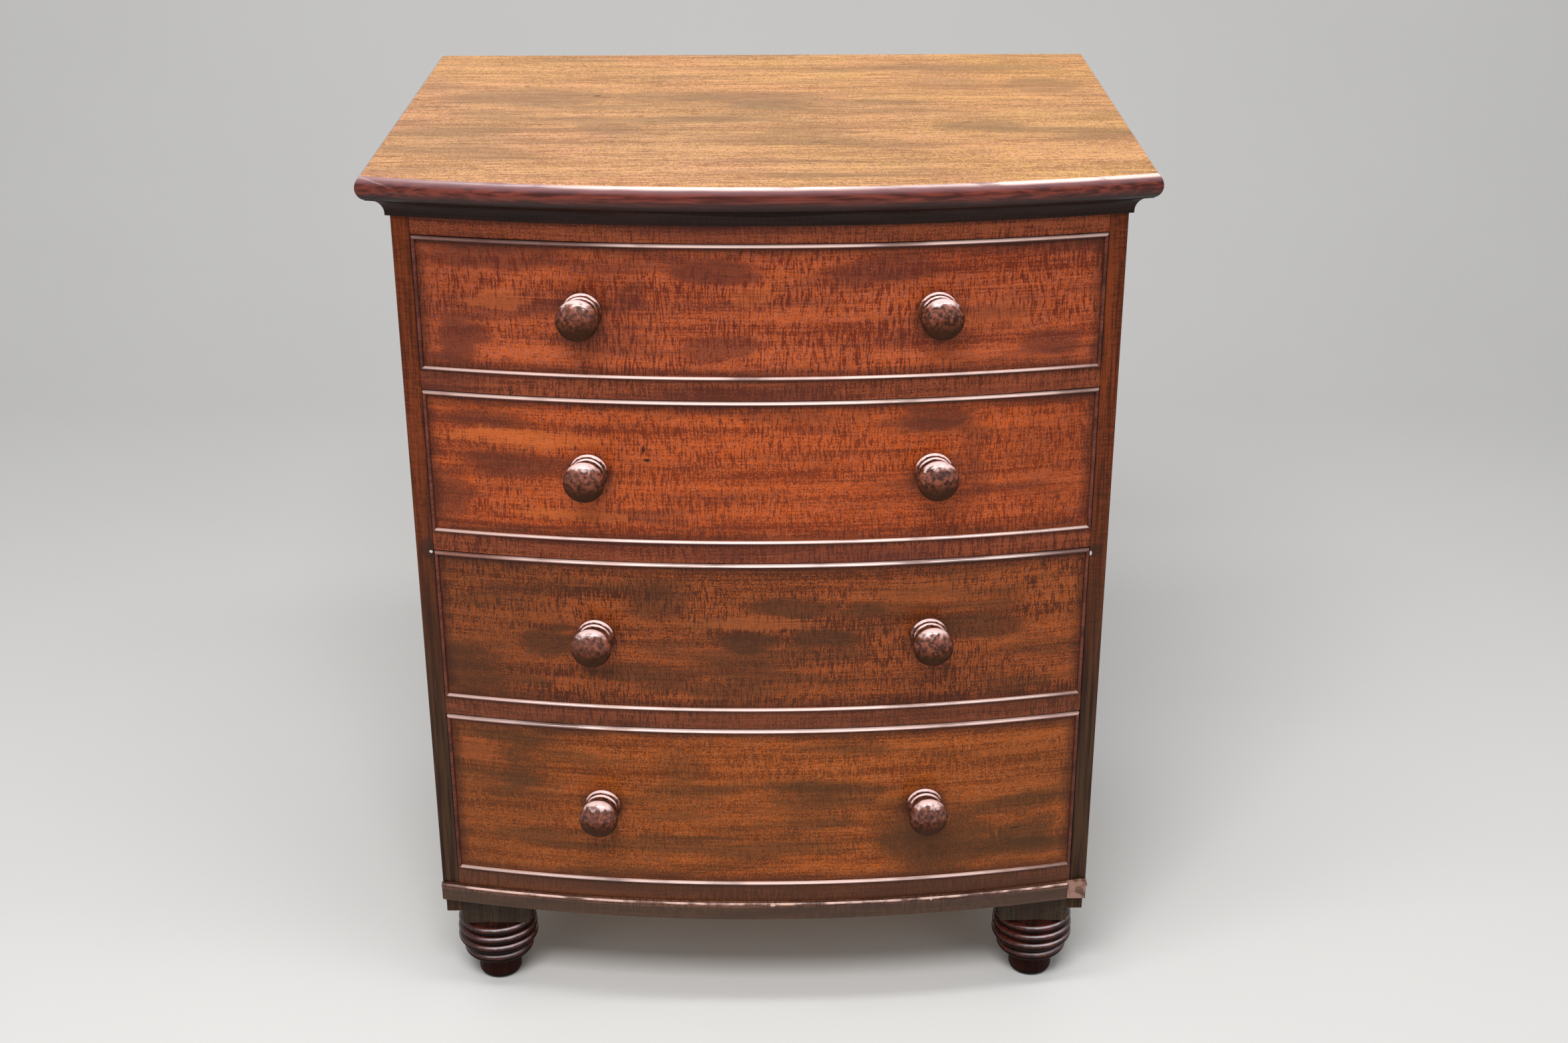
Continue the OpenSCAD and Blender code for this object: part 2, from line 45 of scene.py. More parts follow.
bodyOf = {node: body for body, members in record["behaviour"]["bodies"].items() for node in members}
print("frame loaded:", len(nodes), "pieces of joinery")

# the bow of the front is one circle: its radius, and where its axis stands behind the chest
bow = {"radius": 1.31001, "axisY": 1.07637}
seedSteps = (1.0, 1.7, 2.9)  # how far one step of a seed moves a noise on each axis


# shader writing

class Value:
    # wraps a node's output, so that shader sums read as plain ones
    def __init__(self, paint, socket):
        self.paint = paint
        self.socket = socket

    def sum(self, operation, *terms):
        return self.paint.add("ShaderNodeMath", {"operation": operation}, terms)

    def __add__(self, other):
        return self.sum("ADD", self, other)

    def __radd__(self, other):
        return self.sum("ADD", other, self)

    def __sub__(self, other):
        return self.sum("SUBTRACT", self, other)

    def __rsub__(self, other):
        return self.sum("SUBTRACT", other, self)

    def __mul__(self, other):
        return self.sum("MULTIPLY", self, other)

    def __rmul__(self, other):
        return self.sum("MULTIPLY", other, self)

    def __truediv__(self, other):
        return self.sum("DIVIDE", self, other)

    def __rtruediv__(self, other):
        return self.sum("DIVIDE", other, self)

    def __pow__(self, other):
        return self.sum("POWER", self, other)

    def __rpow__(self, other):
        return self.sum("POWER", other, self)

    def __abs__(self):
        return self.sum("ABSOLUTE", self)

    def output(self, name):
        return Value(self.paint, self.socket.node.outputs[name])

    def between(self, low, high):
        # 0 below low, 1 above high, with an eased slope from one to the other
        return self.paint.add("ShaderNodeMapRange", {"interpolation_type": "SMOOTHSTEP"}, [self, low, high])

    def least(self, other):
        return self.sum("MINIMUM", self, other)

    def most(self, other):
        return self.sum("MAXIMUM", self, other)


class Paint:
    # one material and the few ways in which this scene adds nodes to it
    def __init__(self, name):
        self.material = bpy.data.materials.new(name)
        self.material.use_nodes = True
        self.tree = self.material.node_tree
        self.tree.nodes.clear()

    def add(self, kind, settings=None, inputs=(), output=0):
        node = self.tree.nodes.new(kind)
        for key, value in (settings or {}).items():
            setattr(node, key, value)
        pairs = inputs.items() if isinstance(inputs, dict) else enumerate(inputs)
        for key, value in pairs:
            if isinstance(value, Value):
                self.tree.links.new(value.socket, node.inputs[key])
            else:
                node.inputs[key].default_value = value
        return Value(self, node.outputs[output]) if len(node.outputs) else node

    def mix(self, amount, first, second, blend="MIX"):
        # a Mix node takes its colours at sockets 6 and 7
        first, second = [c if isinstance(c, Value) else (*c, 1.0) for c in (first, second)]
        return self.add("ShaderNodeMix", {"data_type": "RGBA", "blend_type": blend},
            {0: amount, 6: first, 7: second}, output=2)

    def stain(self, film, amount, colour, blend="MIX"):
        # lays one more colour over the film so far
        film["colour"] = self.mix(amount, film["colour"], colour, blend)

    def speckle(self, place, stretch, seed, detail=2.0, rough=0.5):
        # noise whose grains are 1 / stretch long on each axis, in metres
        moved = self.add("ShaderNodeVectorMath", {"operation": "MULTIPLY_ADD"},
            [place, stretch, [seed * step for step in seedSteps]])
        return self.add("ShaderNodeTexNoise", None,
            {"Vector": moved, "Scale": 1.0, "Detail": detail, "Roughness": rough})

    def facing(self, axis):
        # how far a surface faces along an axis of the room: 1 on top and -1 underneath for Z
        normal = self.add("ShaderNodeNewGeometry", output="Normal")
        return self.add("ShaderNodeSeparateXYZ", None, [normal]).output(axis)

    def finish(self, film, look):
        bumpy = self.add("ShaderNodeBump", None,
            {"Strength": look["relief"], "Distance": look["bumpDepth"], "Height": film["height"]})
        skin = self.add("ShaderNodeBsdfPrincipled", None, {"Base Color": film["colour"],
            "Roughness": film["rough"], "Normal": bumpy, "Coat Weight": film["coat"],
            "Coat Roughness": look["coatRough"], "Coat IOR": look["coatGloss"],
            "Specular IOR Level": look["sheen"]})
        self.add("ShaderNodeOutputMaterial", None, [skin])
        return self.material


# how every board is figured. A size is in grains to the metre along, across and into the wood, and an
# edge is where a noise starts to show and where it is full
figure = {"slowSize": (1.7, 5.0, 5.0), "quickSize": (11.0, 40.0, 40.0), "ringWobble": 0.8,
    "ringSharpness": 3, "leanSize": (30.0, 22.0, 22.0), "lean": 0.008, "gritSize": (900.0, 600.0, 600.0),
    "poreEdge": (0.58, 0.72), "cloudEdge": (0.46, 0.68), "blushEdge": (0.44, 0.58),
    "tickEdge": (0.54, 0.68),
    "crowdSize": (9.0, 24.0, 24.0), "crowdEdge": (0.36, 0.60), "leastCrowd": 0.35,
    "swaySize": (16.0, 60.0, 60.0), "swayAlong": 0.06, "swayAcross": 0.02,
    "patchReach": (0.0, 1.8), "patchEdge": (0.25, 0.95), "patchFibre": 1.2, "patchFleck": 1.7,
    "smearSize": (9.0, 9.0, 9.0), "smearRough": 0.16, "poreRough": 0.15, "fibreRough": 0.1,
    "fibreHeight": 0.25, "ringHeight": 0.25, "poreDip": 0.5, "swell": 3.0}
# each noise stands this far from the board's own seed, so that no two of them agree
apart = {"quick": 3.1, "fibre": 5.3, "ribbon": 7.9, "pore": 9.7, "cloud": 12.3, "fleck": 15.1, "lean": 16.7,
    "sway": 18.3, "smear": 21.0, "rimNoise": 24.0, "crowd": 27.7, "beadHighlights": 30.0, "grit": 30.1,
    "turnedHighlights": 33.0, "blush": 36.0}


def wood(name, look):
    # solid wood: rings round a pith line beside the board, ribbons, fibres, flecks, pores and clouds
    paint = Paint(name)
    place = paint.add("ShaderNodeTexCoord", output="Object")
    x = paint.add("ShaderNodeSeparateXYZ", None, [place])
    y, z = x.output("Y"), x.output("Z")
    if look.get("bent"):  # the figure follows the bow: y is then the depth behind it
        y = bow["radius"] - (x * x + (y - bow["axisY"]) ** 2) ** 0.5
    along, across, deep = {"x": (x, z, y), "y": (y, x, z), "z": (z, x, y), "flat": (x, y, z)}[look["grain"]]
    log = paint.add("ShaderNodeCombineXYZ", None, [along, across, deep])
    seed = look["seed"]

    slow = paint.speckle(log, figure["slowSize"], seed, detail=1.0) - 0.5
    quick = paint.speckle(log, figure["quickSize"], seed + apart["quick"]) - 0.5
    offAcross, offDeep = look["pith"]
    ringed = ((across - offAcross + slow * look["wander"]) ** 2 + (deep - offDeep) ** 2) ** 0.5
    late = (ringed / look["ring"] + quick * figure["ringWobble"]).sum("FRACT") ** figure["ringSharpness"]
    fibre = paint.speckle(log, look["fibreSize"], seed + apart["fibre"], detail=4.0, rough=0.65)
    ribbon = paint.speckle(log, look["ribbonSize"], seed + apart["ribbon"])
    lean = paint.speckle(log, figure["leanSize"], seed + apart["lean"]) - 0.5
    leaning = paint.add("ShaderNodeCombineXYZ", None, [along + lean * figure["lean"], across, deep])
    fleck = paint.speckle(leaning, look["fleckSize"], seed + apart["fleck"])
    pore = paint.speckle(log, look["poreSize"], seed + apart["pore"], detail=1.0)
    pore = pore.between(*figure["poreEdge"])
    murky = paint.speckle(log, look["cloudSize"], seed + apart["cloud"], detail=3.0, rough=0.55)
    murky = murky.between(*figure["cloudEdge"])

    # light and deep wood, shared out by the four noises
    fibreShare, ribbonShare, fleckShare, gritShare = look["shares"]
    crowd = paint.speckle(log, figure["crowdSize"], seed + apart["crowd"]).between(*figure["crowdEdge"])
    crowd = crowd + figure["leastCrowd"]
    grit = paint.speckle(log, figure["gritSize"], seed + apart["grit"], detail=1.0) - 0.5
    tone = (fibre - 0.5) * fibreShare + (ribbon - 0.5) * ribbonShare
    tone = tone + (fleck - 0.5) * crowd * fleckShare + grit * gritShare
    blush = paint.speckle(log, look["blushSize"], seed + apart["blush"], detail=3.0, rough=0.6)
    blush = blush.between(*figure["blushEdge"])
    blushed = [part * change for part, change in zip(look["light"], look["blushTint"])]
    light = paint.mix(blush * look["blushDepth"], look["light"], blushed)
    colour = paint.mix(tone.between(-look["spread"], look["spread"]), look["deep"], light)
    colour = paint.mix(late * look["ringDepth"], colour, look["dark"])
    colour = paint.mix(murky * look["cloudDepth"], colour, look["cloud"])

    # clouds and bright places where this board has them
    sway = paint.speckle(log, figure["swaySize"], seed + apart["sway"], detail=3.0) - 0.5
    streaky = (fibre - 0.5) * figure["patchFibre"] + (fleck - 0.5) * figure["patchFleck"]
    for patches, patchColour in (("darkPatches", look["cloud"]), ("brightPatches", look["glow"])):
        for centre, level, half, tall, depth in look.get(patches, ()):
            offAlong = (along + sway * figure["swayAlong"] - centre) / half
            reach = offAlong ** 2 + ((across + sway * figure["swayAcross"] - level) / tall) ** 2
            edge = 1.0 - reach.between(*figure["patchReach"])
            colour = paint.mix((edge + streaky).between(*figure["patchEdge"]) * depth, colour, patchColour)
    colour = paint.mix(fleck.between(*figure["tickEdge"]) * crowd * look["tickDepth"], colour, look["dark"])
    colour = paint.mix(pore * look["poreDepth"], colour, look["pore"])

    smear = paint.speckle(place, figure["smearSize"], seed + apart["smear"]) - 0.5
    rough = look["rough"] + smear * figure["smearRough"] + pore * figure["poreRough"]
    rough = rough + (fibre - 0.5) * figure["fibreRough"]
    height = fibre * figure["fibreHeight"] + late * figure["ringHeight"] - pore * figure["poreDip"]
    height = height + slow * figure["swell"]
    film = {"colour": colour, "coat": look["coat"], "rough": rough, "height": height}
    for touch in look.get("touches", ()):
        touch(paint, film, {"x": x, "y": y, "z": z, "log": log, "seed": seed})
    return paint.finish(film, look)


# easing of sharp arrises, as planing, scraping and years of dusting leave them: distances in metres,
# angles in degrees
easing = {"weld": 0.00001, "flat": 0.2, "corner": 32, "segments": 2}


def eased(node, width):
    mesh = nodes[node].data.copy()
    mesh.materials.clear()
    shape = bmesh.new()
    shape.from_mesh(mesh)
    bmesh.ops.remove_doubles(shape, verts=shape.verts, dist=easing["weld"])
    bmesh.ops.dissolve_limit(shape, angle_limit=math.radians(easing["flat"]), verts=shape.verts,
        edges=shape.edges)
    for face in shape.faces:
        face.smooth = True
    shape.to_mesh(mesh)
    shape.free()
    piece = bpy.data.objects.new("wood_" + node, mesh)
    bpy.context.scene.collection.objects.link(piece)
    bevel = piece.modifiers.new("eased", "BEVEL")
    bevel.width = width
    bevel.segments = easing["segments"]
    bevel.limit_method = "ANGLE"
    bevel.angle_limit = math.radians(easing["corner"])
    normals = piece.modifiers.new("flat", "WEIGHTED_NORMAL")
    normals.keep_sharp = True
    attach(piece, bodyOf[node])
    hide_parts(node)
    return piece


def dress(node, material, width=0.0):
    # a piece with no easing keeps its own mesh
    piece = eased(node, width) if width else nodes[node]
    piece.data.materials.clear()
    piece.data.materials.append(material)


# finishes: colours are linear, sizes are grains to the metre along, across and into the wood
mahogany = {"grain": "x", "seed": 1.0, "pith": (0.02, 0.16), "wander": 0.05, "ring": 0.006,
    "light": (0.520, 0.112, 0.028), "deep": (0.185, 0.036, 0.010), "dark": (0.110, 0.024, 0.010),
    "cloud": (0.085, 0.020, 0.014), "glow": (0.560, 0.150, 0.034), "pore": (0.045, 0.012, 0.008),
    "fibreSize": (16.0, 520.0, 520.0), "ribbonSize": (4.0, 75.0, 75.0), "fleckSize": (700.0, 85.0, 85.0),
    "poreSize": (120.0, 1300.0, 1300.0), "cloudSize": (7.0, 40.0, 40.0),
    "shares": (0.28, 0.24, 0.40, 0.30), "spread": 0.092,
    "blushSize": (260.0, 150.0, 150.0), "blushTint": (0.95, 1.20, 2.5), "blushDepth": 0.7,
    "ringDepth": 0.2, "cloudDepth": 0.62, "poreDepth": 0.5, "tickDepth": 0.2,
    "rough": 0.36, "relief": 0.25, "bumpDepth": 0.0006,
    "coat": 0.10, "coatRough": 0.12, "coatGloss": 1.5, "sheen": 0.12}
darkPolish = dict(mahogany, light=(0.150, 0.040, 0.022), deep=(0.050, 0.015, 0.010),
    dark=(0.030, 0.010, 0.008), cloud=(0.032, 0.012, 0.009), pore=(0.014, 0.006, 0.005),
    shares=(0.45, 0.3, 0.2, 0.1), blushTint=(0.98, 1.06, 1.10), tickDepth=0.1, coat=0.25, sheen=0.22)
goldenTop = dict(mahogany, grain="flat", pith=(0.035, 0.735), wander=0.09, ring=0.0032, ringDepth=0.28,
    light=(0.765, 0.404, 0.152), deep=(0.380, 0.168, 0.058), dark=(0.250, 0.110, 0.040),
    cloud=(0.270, 0.145, 0.066), glow=(0.660, 0.340, 0.120), pore=(0.150, 0.066, 0.030),
    fibreSize=(14.0, 380.0, 380.0), ribbonSize=(4.0, 42.0, 42.0), fleckSize=(260.0, 160.0, 160.0),
    poreSize=(55.0, 620.0, 620.0), cloudSize=(5.0, 26.0, 26.0), shares=(0.40, 0.20, 0.18, 0.34),
    spread=0.060, blushTint=(1.02, 0.95, 1.45), cloudDepth=0.58, poreDepth=0.6, tickDepth=0.12,
    rough=0.42, coat=0.12, coatRough=0.25, sheen=0.25)
pine = dict(mahogany, light=(0.600, 0.385, 0.190), deep=(0.430, 0.250, 0.110), dark=(0.225, 0.110, 0.045),
    cloud=(0.230, 0.140, 0.075), pore=(0.200, 0.110, 0.050), ring=0.005, ringDepth=0.75, cloudDepth=0.35,
    shares=(0.55, 0.3, 0.1, 0.1), blushTint=(1.03, 0.97, 0.85), poreDepth=0.2, tickDepth=0.0,
    rough=0.68, relief=0.4, coat=0.0, coatRough=0.5, sheen=0.3)


# marks of any piece: where each is, half its length, half its width, and its depth
knockEdge = (0.3, 1.0)  # a mark is full within the first and gone beyond the second


def knocks(marks, colour, ground="xy"):
    def touch(paint, film, spot):
        first, second = spot[ground[0]], spot[ground[1]]
        for centre, level, half, tall, depth in marks:
            reach = ((first - centre) / half) ** 2 + ((second - level) / tall) ** 2
            paint.stain(film, (1.0 - reach.between(*knockEdge)) * depth, colour)
    return touch


# the top board's rounded edge. A tone starts and is full at two heights above the floor, the rubbed
# highlight at two places from side to side
# the shine is a painted reflection, the black below is painted shade, and the rubbed highlight is a painted
# highlight that is partly real wear
nose = {"arris": (0.80805, 0.80845), "arrisWobble": 0.0003,
    "wobbleSize": (30.0, 30.0, 30.0), "wobbleSeed": 31.0, "wobble": 0.0010,
    "streakSize": (14.0, 320.0, 320.0), "streakSeed": 33.0, "streakEdge": (0.34, 0.66),
    "dark": (0.050, 0.012, 0.010), "red": (0.165, 0.036, 0.024),
    "shine": (0.250, 0.128, 0.140), "shineAbove": (0.8010, 0.8065), "shineDepth": 0.75,
    "black": (0.014, 0.005, 0.004), "shadowBelow": (0.7905, 0.7970),
    "rubbedHighlight": (0.780, 0.560, 0.500), "rubbedHighlightAbove": (0.8050, 0.8072), "rubHighlightDepth": 0.8, "leastRubHighlight": 0.25,
    "rubHighlightStarts": (-0.20, -0.10), "rubHighlightFades": (0.03, 0.10), "fade": 0.75,
    "rubHighlightReturns": (0.15, 0.22), "regain": 1.1,
    "scuffSize": (25.0, 200.0, 200.0), "scuffSeed": 35.0, "scuffEdge": (0.25, 0.50),
    "coatAbove": (0.8010, 0.8060), "coat": 0.9, "leastCoat": 0.08, "rough": 0.30}


def darkNose(paint, film, spot):
    # the worn golden top ends at the arris: the rounded edge keeps its dark polish, with a painted
    # reflection on its upper part, a painted highlight on the arris that is partly rubbed wear, and painted
    # shade below
    wobble = paint.speckle(spot["log"], nose["wobbleSize"], nose["wobbleSeed"], detail=3.0) - 0.5
    height = spot["z"] + wobble * nose["wobble"]
    gold = (spot["z"] + wobble * nose["arrisWobble"]).between(*nose["arris"])
    streak = paint.speckle(spot["log"], nose["streakSize"], nose["streakSeed"], detail=3.0, rough=0.6)
    streak = streak.between(*nose["streakEdge"])
    tone = paint.mix(streak, nose["dark"], nose["red"])
    # painted reflection: the upper part of the rounded edge is paler and purple grey
    tone = paint.mix(height.between(*nose["shineAbove"]) * nose["shineDepth"], tone, nose["shine"])
    # painted shade: the underside of the rounded edge is black
    tone = paint.mix(height.between(*nose["shadowBelow"]), nose["black"], tone)
    # painted highlight along the arris, partly rubbed wear: bright in the middle and towards the right hand
    # end, dim at the left
    length = spot["x"]
    wornHighlight = length.between(*nose["rubHighlightStarts"]) - length.between(*nose["rubHighlightFades"]) * nose["fade"]
    wornHighlight = wornHighlight + length.between(*nose["rubHighlightReturns"]) * nose["regain"]
    scuff = paint.speckle(spot["log"], nose["scuffSize"], nose["scuffSeed"], detail=3.0)
    scuff = scuff.between(*nose["scuffEdge"])
    wornHighlight = height.between(*nose["rubbedHighlightAbove"]) * (wornHighlight + nose["leastRubHighlight"]) * scuff * nose["rubHighlightDepth"]
    tone = paint.mix(wornHighlight, tone, nose["rubbedHighlight"])
    film["colour"] = paint.mix(gold, tone, film["colour"])
    film["coat"] = height.between(*nose["coatAbove"]) * (1.0 - gold) * nose["coat"] + nose["leastCoat"]
    film["rough"] = film["rough"] * gold + (1.0 - gold) * nose["rough"]


# the top's fading and painted sheen: each tint multiplies its colour
fadingAndSheen = {"driftSize": (7.0, 11.0, 11.0), "driftSeed": 45.0, "driftEdge": (0.38, 0.62),
    "drift": (1.02, 0.97, 1.06),
    "toTheRight": (-0.30, 0.34), "rightTone": (1.0, 1.0, 0.78), "rightDepth": 0.8,
    "sheenToTheBack": (-0.10, 0.26), "backSheen": (1.50, 1.46, 1.16), "backSheenDepth": 0.5}


def yellowedAndSheen(paint, film, spot):
    # the right hand end has faded yellower, the back is painted paler as a grazing sheen, and the tone
    # drifts from place to place
    drift = paint.speckle(spot["log"], fadingAndSheen["driftSize"], fadingAndSheen["driftSeed"])
    drift = drift.between(*fadingAndSheen["driftEdge"])
    paint.stain(film, drift, fadingAndSheen["drift"], "MULTIPLY")
    paint.stain(film, spot["x"].between(*fadingAndSheen["toTheRight"]) * fadingAndSheen["rightDepth"], fadingAndSheen["rightTone"],
        "MULTIPLY")
    # painted sheen: the back of the top is paler, as a grazing reflection
    paint.stain(film, spot["y"].between(*fadingAndSheen["sheenToTheBack"]) * fadingAndSheen["backSheenDepth"], fadingAndSheen["backSheen"],
        "MULTIPLY")


# the top's clouds and marks: where each is from side to side and from front to back, half its length,
# half its width, and its depth
topPatches = [
    (-0.214, 0.073, 0.085, 0.040, 0.60), (-0.009, 0.067, 0.075, 0.028, 0.60),
    (0.004, 0.036, 0.045, 0.022, 0.55), (-0.083, 0.071, 0.055, 0.028, 0.50),
    (0.198, -0.045, 0.040, 0.020, 0.60), (0.042, -0.062, 0.045, 0.020, 0.40),
    (0.264, 0.117, 0.042, 0.036, 0.50), (-0.243, 0.003, 0.040, 0.024, 0.40),
    (0.175, 0.124, 0.042, 0.027, 0.35), (-0.137, -0.050, 0.026, 0.020, 0.50),
    (-0.231, -0.139, 0.042, 0.028, 0.35), (-0.038, -0.016, 0.052, 0.016, 0.35)]
topMarks = [
    (-0.300, 0.036, 0.018, 0.0022, 0.55), (-0.276, 0.050, 0.014, 0.0018, 0.45),
    (-0.153, 0.077, 0.004, 0.0040, 0.7), (-0.007, 0.067, 0.007, 0.0022, 0.6),
    (0.051, -0.106, 0.010, 0.0022, 0.6), (0.120, -0.030, 0.012, 0.0014, 0.4)]
topMarkColour = (0.10, 0.05, 0.03)
topWood = wood("golden_top", dict(goldenTop, seed=1.4, darkPatches=topPatches,
    touches=[yellowedAndSheen, knocks(topMarks, topMarkColour), darkNose]))


# the drawer fronts: the dirt and painted shade that they share, then their own colours, clouds and marks
rimDirtAndShade = {"halfWidth": 0.2852, "knobX": 0.1470, "knobDrop": 0.003, "colour": (0.040, 0.013, 0.008),
    "depth": 0.6, "rough": 0.15, "rimNoiseSize": (60.0, 60.0, 60.0), "rim": (0.0012, 0.0120),
    "rimWander": 0.010, "ring": (0.014, 0.027), "ringWander": 0.012}


def dirtAndShadeRim(low, high, knobLevel):
    # dirt and painted shade darken the fronts along the cockbeads and round the knobs
    def touch(paint, film, spot):
        edge = (spot["z"] - low).least(high - spot["z"]).least(rimDirtAndShade["halfWidth"] - abs(spot["x"]))
        rimNoise = paint.speckle(spot["log"], rimDirtAndShade["rimNoiseSize"], spot["seed"] + apart["rimNoise"], detail=3.0)
        rim = (edge + (rimNoise - 0.5) * rimDirtAndShade["rimWander"]).between(*rimDirtAndShade["rim"])
        darkening = (1.0 - rim) * rimDirtAndShade["depth"]
        # the ring round each knob is set a little low, so it is partly painted shadow under the knob
        sideways, up = abs(spot["x"]) - rimDirtAndShade["knobX"], spot["z"] - knobLevel + rimDirtAndShade["knobDrop"]
        ring = (sideways ** 2 + up ** 2) ** 0.5 + (rimNoise - 0.5) * rimDirtAndShade["ringWander"]
        darkening = darkening.most((1.0 - ring.between(*rimDirtAndShade["ring"])) * rimDirtAndShade["depth"])
        paint.stain(film, darkening, rimDirtAndShade["colour"])
        film["rough"] = film["rough"] + darkening * rimDirtAndShade["rough"]
    return touch


# patches and marks: where each is from side to side, its height above the floor, half its length, half
# its height, and its depth. Dim beads: where each dull length starts and ends, and its height
fronts = [
    {"low": 0.6414, "high": 0.7520, "knobs": 0.6967, "seed": 5.0, "pith": (0.66, 0.12),
        "light": (0.505, 0.098, 0.022), "deep": (0.140, 0.019, 0.006),
        "glow": (0.480, 0.110, 0.030), "cloud": (0.092, 0.021, 0.013),
        "shares": (0.28, 0.24, 0.48, 0.26), "tickDepth": 0.22,
        "darkPatches": [
            (-0.036, 0.731, 0.040, 0.012, 0.75), (-0.037, 0.666, 0.034, 0.010, 0.60),
            (-0.251, 0.669, 0.022, 0.022, 0.70), (0.245, 0.664, 0.032, 0.013, 0.60),
            (-0.099, 0.713, 0.014, 0.013, 0.50), (0.111, 0.735, 0.048, 0.011, 0.60),
            (-0.220, 0.741, 0.060, 0.011, 0.60), (-0.280, 0.700, 0.060, 0.080, 0.25)],
        "brightPatches": [(-0.222, 0.702, 0.026, 0.010, 0.5), (-0.008, 0.711, 0.026, 0.008, 0.5),
            (0.200, 0.690, 0.036, 0.010, 0.3)],
        "marks": [(0.2930, 0.6460, 0.0010, 0.0010, 0.5)],
        "dimBeads": [(-0.30, -0.12, 0.7536)]},
    {"low": 0.4911, "high": 0.6157, "knobs": 0.5534, "seed": 6.2, "pith": (0.60, 0.10),
        "light": (0.545, 0.097, 0.016), "deep": (0.165, 0.024, 0.005),
        "glow": (0.560, 0.130, 0.028), "cloud": (0.088, 0.022, 0.011),
        "darkPatches": [
            (0.149, 0.602, 0.040, 0.011, 0.75), (-0.208, 0.558, 0.050, 0.012, 0.70),
            (-0.230, 0.597, 0.042, 0.010, 0.60), (-0.276, 0.524, 0.030, 0.022, 0.65),
            (0.180, 0.562, 0.014, 0.045, 0.35), (0.280, 0.560, 0.070, 0.080, 0.22)],
        "brightPatches": [(-0.204, 0.581, 0.070, 0.009, 0.6), (-0.159, 0.514, 0.055, 0.007, 0.5)],
        "marks": [(-0.0999, 0.5752, 0.0018, 0.0040, 0.9), (-0.0973, 0.5655, 0.0036, 0.0020, 0.9)],
        "dimBeads": []},
    {"low": 0.3268, "high": 0.4654, "knobs": 0.3961, "seed": 7.4, "pith": (0.34, 0.13),
        "light": (0.380, 0.082, 0.013), "deep": (0.074, 0.015, 0.004),
        "glow": (0.370, 0.095, 0.024), "cloud": (0.056, 0.022, 0.008),
        "darkPatches": [
            (-0.187, 0.388, 0.024, 0.017, 0.75), (-0.021, 0.390, 0.030, 0.011, 0.75),
            (0.052, 0.395, 0.038, 0.012, 0.75), (0.025, 0.426, 0.042, 0.011, 0.70),
            (0.089, 0.424, 0.022, 0.009, 0.60), (-0.092, 0.429, 0.030, 0.017, 0.60),
            (0.198, 0.403, 0.048, 0.016, 0.70), (-0.265, 0.351, 0.034, 0.030, 0.65),
            (-0.108, 0.359, 0.050, 0.012, 0.60), (-0.270, 0.396, 0.090, 0.120, 0.30)],
        "brightPatches": [(-0.009, 0.409, 0.070, 0.008, 0.55), (0.143, 0.438, 0.045, 0.010, 0.4)],
        "marks": [],
        "dimBeads": [(-0.30, -0.22, 0.4670), (0.24, 0.32, 0.4670)]},
    {"low": 0.1434, "high": 0.3012, "knobs": 0.2223, "seed": 8.6, "pith": (0.18, 0.10),
        "light": (0.465, 0.106, 0.014), "deep": (0.140, 0.030, 0.004),
        "glow": (0.430, 0.100, 0.026), "cloud": (0.058, 0.026, 0.008),
        "shares": (0.30, 0.22, 0.22, 0.34), "tickDepth": 0.06,
        "darkPatches": [
            (0.167, 0.179, 0.065, 0.034, 0.75), (0.245, 0.178, 0.032, 0.020, 0.70),
            (0.130, 0.202, 0.034, 0.028, 0.45), (0.037, 0.238, 0.034, 0.013, 0.40),
            (-0.218, 0.260, 0.018, 0.028, 0.40), (-0.078, 0.264, 0.032, 0.018, 0.35),
            (-0.280, 0.222, 0.100, 0.130, 0.30), (0.285, 0.230, 0.090, 0.120, 0.20)],
        "brightPatches": [(-0.265, 0.267, 0.028, 0.015, 0.35)],
        "marks": [(0.2340, 0.1880, 0.0060, 0.0012, 0.6)],
        "dimBeads": []},
]
frontMarkColour = (0.015, 0.006, 0.005)
frontWoods = []
for i, front in enumerate(fronts):
    frontWoods.append(wood(f"drawer_front_{i + 1}", dict(mahogany, bent=True, **front,
        touches=[dirtAndShadeRim(front["low"], front["high"], front["knobs"]),
            knocks(front["marks"], frontMarkColour, "xz")])))


# the case sides: their front edges show as stiles
stile = {"redAbove": (0.27, 0.60), "behind": (-0.195, -0.150), "unstainedBehind": 0.85,
    "streakSize": (10.0, 260.0, 260.0), "streakSeed": 37.0, "streakEdge": (0.35, 0.65),
    "black": (0.022, 0.010, 0.006), "brown": (0.064, 0.030, 0.014),
    "dents": [(-0.2935, 0.470, 0.0090, 0.0130, 0.6), (0.2935, 0.466, 0.0080, 0.0080, 0.5)],
    "dentColour": (0.020, 0.014, 0.012),
    "dots": [(-0.2917, 0.4675, 0.0018, 0.0016, 1.0), (0.2900, 0.4635, 0.0014, 0.0026, 1.0)],
    "dotColour": (0.700, 0.620, 0.580)}


def brownerBelow(paint, film, spot):
    # the fronts of the sides are redder at the top and browner and darker near the floor
    streaks = paint.speckle(spot["log"], stile["streakSize"], stile["streakSeed"], detail=3.0)
    streaks = streaks.between(*stile["streakEdge"])
    brown = paint.mix(streaks, stile["black"], stile["brown"])
    front = 1.0 - spot["y"].between(*stile["behind"]) * stile["unstainedBehind"]
    paint.stain(film, (1.0 - spot["z"].between(*stile["redAbove"])) * front, brown)


